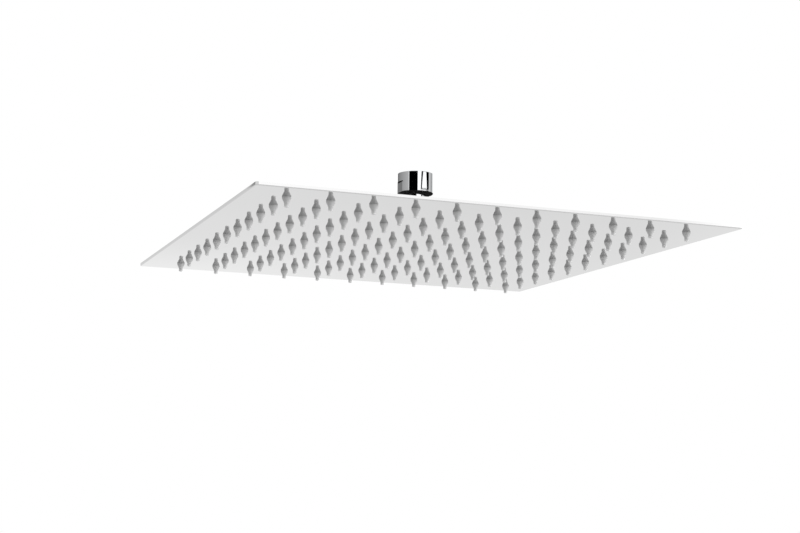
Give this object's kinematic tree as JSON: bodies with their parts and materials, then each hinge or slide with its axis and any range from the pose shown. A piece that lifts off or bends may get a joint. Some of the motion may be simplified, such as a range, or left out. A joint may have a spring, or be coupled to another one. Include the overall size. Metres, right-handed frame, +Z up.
{
  "type": "rain shower head",
  "caption": "Slim square rain shower head of polished steel sheet with a grid of soft nozzles, hung from a ball swivel under a threaded inlet collar.",
  "frame": {"origin": "centre of the inlet mouth, on the top face of the threaded collar", "axes": "+Z points up out of the inlet, towards the shower arm; the nozzles point down along -Z; X and Y run along the sides of the square head, and the front edge, nearest the viewer of the picture, is at -Y"},
  "size_m": [0.3, 0.3, 0.0555],
  "materials": {
    "polished_steel": "stainless steel sheet, polished to a mirror",
    "brushed_back": "stainless steel sheet with a fine satin grain",
    "plain_steel": "plain rolled stainless steel",
    "screen_steel": "fine stainless screen",
    "turned_boss": "turned brass, chromed",
    "chromed_nut": "chromed brass, polished",
    "chromed_stem": "chromed brass, polished",
    "slip_plastic": "white acetal",
    "regulator_plastic": "moulded acetal",
    "black_rubber": "moulded rubber",
    "grey_silicone": "soft grey silicone, satin"
  },
  "bodies": {
    "stem": {"ball_stem": "chromed_stem", "inlet_washer": "black_rubber", "filter_screen": "screen_steel"},
    "heading_core": {"flow_regulator": "regulator_plastic", "regulator_ring": "black_rubber"},
    "tilt_seal": {"ball_seal": "black_rubber"},
    "head": {"spray_plate": "polished_steel", "back_plate": "brushed_back", "rim_frame": "plain_steel", "spacer_studs": "plain_steel", "inlet_boss": "turned_boss", "swivel_nut": "chromed_nut", "slip_ring": "slip_plastic", "nozzle_row_01": "grey_silicone", "nozzle_row_02": "grey_silicone", "nozzle_row_03": "grey_silicone", "nozzle_row_04": "grey_silicone", "nozzle_row_05": "grey_silicone", "nozzle_row_06": "grey_silicone", "nozzle_row_07": "grey_silicone", "nozzle_row_08": "grey_silicone", "nozzle_row_09": "grey_silicone", "nozzle_row_10": "grey_silicone", "nozzle_row_11": "grey_silicone"}
  },
  "joints": [
    {"name": "swivel_heading", "type": "hinge", "parent": "stem", "child": "heading_core", "pos_m": [0, 0, -0.0252], "axis": [0, 0, 1], "continuous": true},
    {"name": "swivel_tilt", "type": "hinge", "parent": "heading_core", "child": "tilt_seal", "pos_m": [0, 0, -0.0252], "axis": [1, 0, 0], "range_deg": [-15, 15]},
    {"name": "swivel_spin", "type": "hinge", "parent": "tilt_seal", "child": "head", "pos_m": [0, 0, -0.0252], "axis": [0, 0, 1], "continuous": true}
  ]
}
